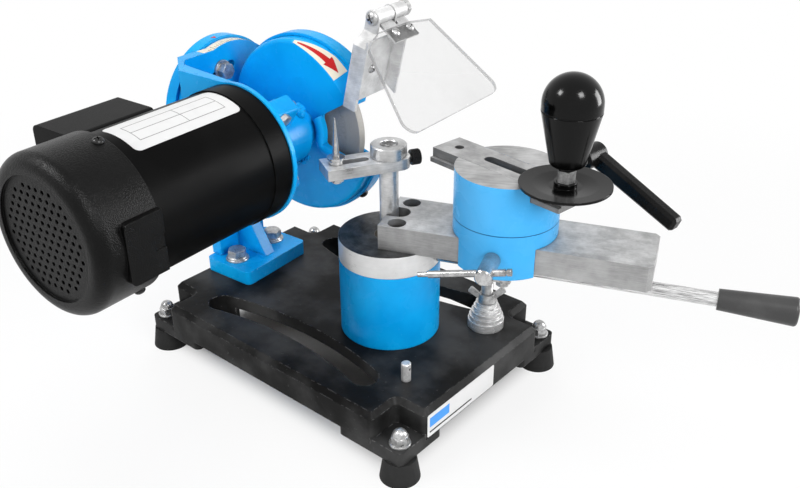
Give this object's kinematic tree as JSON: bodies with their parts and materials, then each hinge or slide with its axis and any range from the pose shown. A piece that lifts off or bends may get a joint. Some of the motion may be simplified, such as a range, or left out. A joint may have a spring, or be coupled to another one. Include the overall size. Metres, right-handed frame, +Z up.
{
  "type": "saw blade sharpener",
  "caption": "Bench grinder for circular saw blades: a tilting motor head with a guarded dish wheel faces a swinging arm that carries the blade clamp.",
  "frame": {"origin": "on the floor under the middle of the whole machine", "axes": "+X along the base's long side towards the feed lever, +Y away from the motor's fan end, +Z up"},
  "size_m": [0.5358, 0.4052, 0.3385],
  "materials": {
    "base_black": "gloss stoved black",
    "machine_blue": "gloss bright blue",
    "motor_black": "satin black",
    "cover_black": "fine grained black",
    "ground_steel": "ground",
    "bar_steel": "milled",
    "bright_steel": "polished",
    "zinc": "zinc plated",
    "sheet_aluminium": "cast and brushed",
    "black_steel": "blackened",
    "grip_black": "moulded gloss black",
    "foot_rubber": "matt",
    "clear_pane": "clear",
    "bronze": "turned",
    "abrasive": "coarse grit",
    "go_green": "moulded",
    "stop_red": "moulded"
  },
  "bodies": {
    "base": {"base_plate": "base_black", "rubber_feet": "foot_rubber", "foot_nuts": "zinc", "pillar": "machine_blue", "pillar_screws": "black_steel", "post": "ground_steel", "post_cap": "zinc", "stand": "machine_blue", "stand_bolts": "zinc", "swivel_pin": "ground_steel", "swivel_bolts": "zinc", "peg": "zinc", "ring_stud": "zinc", "centring_rings": "ground_steel"},
    "wing_nut": {"wing_nut": "zinc"},
    "arm": {"collar": "ground_steel", "pivot_bush": "bronze", "bar": "bar_steel", "bar_screws": "black_steel", "lever_rod": "bright_steel", "lever_grip": "grip_black"},
    "carriage": {"saddle": "machine_blue", "keeper_plate": "ground_steel", "keeper_bolts": "zinc", "turret_bolt": "black_steel"},
    "lock_screw": {"lock_screw": "bright_steel"},
    "tommy_bar": {"tommy_bar": "bright_steel"},
    "turret": {"turret": "machine_blue"},
    "top_slide": {"top_slide": "bar_steel", "clamp_stud": "zinc"},
    "dish": {"dish": "black_steel"},
    "knob": {"knob": "grip_black", "clamp_nut": "zinc"},
    "clamp_lever": {"clamp_lever": "cover_black", "clamp_screw": "zinc"},
    "stop_arm": {"stop_arm": "bar_steel", "stop_screw": "black_steel"},
    "stop_finger": {"stop_finger": "bright_steel"},
    "head": {"head_bracket": "machine_blue", "lug_bolts": "zinc", "motor_can": "motor_black", "bearings": "ground_steel", "fan_cover": "cover_black", "cover_screws": "zinc", "terminal_box": "cover_black", "cable_gland": "cover_black", "guard": "machine_blue", "guard_lid": "machine_blue", "shield_strip": "sheet_aluminium", "shield_bracket": "sheet_aluminium", "shield_bolt": "zinc"},
    "rotor": {"rotor": "ground_steel", "fan": "cover_black", "wheel": "abrasive", "wheel_flanges": "zinc"},
    "shield": {"shield_leaf": "sheet_aluminium", "shield": "clear_pane", "shield_screws": "zinc"},
    "start_button": {"start_button": "go_green"},
    "stop_button": {"stop_button": "stop_red"}
  },
  "joints": [
    {"name": "arm_swing", "type": "hinge", "parent": "base", "child": "arm", "pos_m": [-0.05, 0.07, 0], "axis": [0, 0, 1], "range_deg": [-30, 35]},
    {"name": "carriage_travel", "type": "slide", "parent": "arm", "child": "carriage", "axis": [0.9317, 0.3633, 0], "range_m": [0, 0.06]},
    {"name": "lock_turn", "type": "hinge", "parent": "carriage", "child": "lock_screw", "pos_m": [0.04531, 0.10716, 0.16385], "axis": [0.3633, -0.9317, 0], "range_deg": [0, 180]},
    {"name": "tommy_slide", "type": "slide", "parent": "lock_screw", "child": "tommy_bar", "axis": [0.9113, 0.3553, 0.2079], "range_m": [0, 0.035]},
    {"name": "turret_turn", "type": "hinge", "parent": "carriage", "child": "turret", "pos_m": [0.04531, 0.10716, 0], "axis": [0, 0, 1], "range_deg": [-30, 30]},
    {"name": "top_slide_travel", "type": "slide", "parent": "turret", "child": "top_slide", "axis": [0.9921, -0.1253, 0], "range_m": [0, 0.015]},
    {"name": "clamp_lift", "type": "slide", "parent": "top_slide", "child": "dish", "axis": [0, 0, 1], "range_m": [0, 0.003]},
    {"name": "knob_turn", "type": "hinge", "parent": "dish", "child": "knob", "pos_m": [0.10186, 0.10002, 0], "axis": [0, 0, 1], "range_deg": [0, 720]},
    {"name": "clamp_lever_turn", "type": "hinge", "parent": "turret", "child": "clamp_lever", "pos_m": [0.07111, 0.1039, 0.2225], "axis": [-0.1253, -0.9921, 0], "range_deg": [0, 110]},
    {"name": "stop_swing", "type": "hinge", "parent": "base", "child": "stop_arm", "pos_m": [-0.05, 0.07, 0], "axis": [0, 0, 1], "range_deg": [-30, 25]},
    {"name": "finger_travel", "type": "slide", "parent": "stop_arm", "child": "stop_finger", "axis": [-0.4848, -0.8746, 0], "range_m": [-0.02, 0]},
    {"name": "wing_turn", "type": "hinge", "parent": "base", "child": "wing_nut", "pos_m": [0.0194, 0.1238, 0], "axis": [0, 0, 1], "range_deg": [-180, 180]},
    {"name": "head_tilt", "type": "hinge", "parent": "base", "child": "head", "pos_m": [-0.1536, 0.07187, 0.2238], "axis": [0.9973, 0.0732, 0], "range_deg": [-15, 15]},
    {"name": "wheel_spin", "type": "hinge", "parent": "head", "child": "rotor", "pos_m": [-0.1529, 0.0624, 0.2238], "axis": [-0.0732, 0.9973, 0], "continuous": true},
    {"name": "shield_flip", "type": "hinge", "parent": "head", "child": "shield", "pos_m": [-0.07364, 0.06822, 0.33149], "axis": [0.0732, -0.9973, 0], "range_deg": [0, 70]},
    {"name": "start_press", "type": "slide", "parent": "head", "child": "start_button", "axis": [0.9973, 0.0732, 0], "range_m": [0, 0.0025], "stiffness_N_per_m": 400},
    {"name": "stop_press", "type": "slide", "parent": "head", "child": "stop_button", "axis": [0.9973, 0.0732, 0], "range_m": [0, 0.0025], "stiffness_N_per_m": 400}
  ],
  "couplings": [
    {"joint": "knob_turn", "follows": "clamp_lift", "rad_per_m": 4188.8}
  ]
}
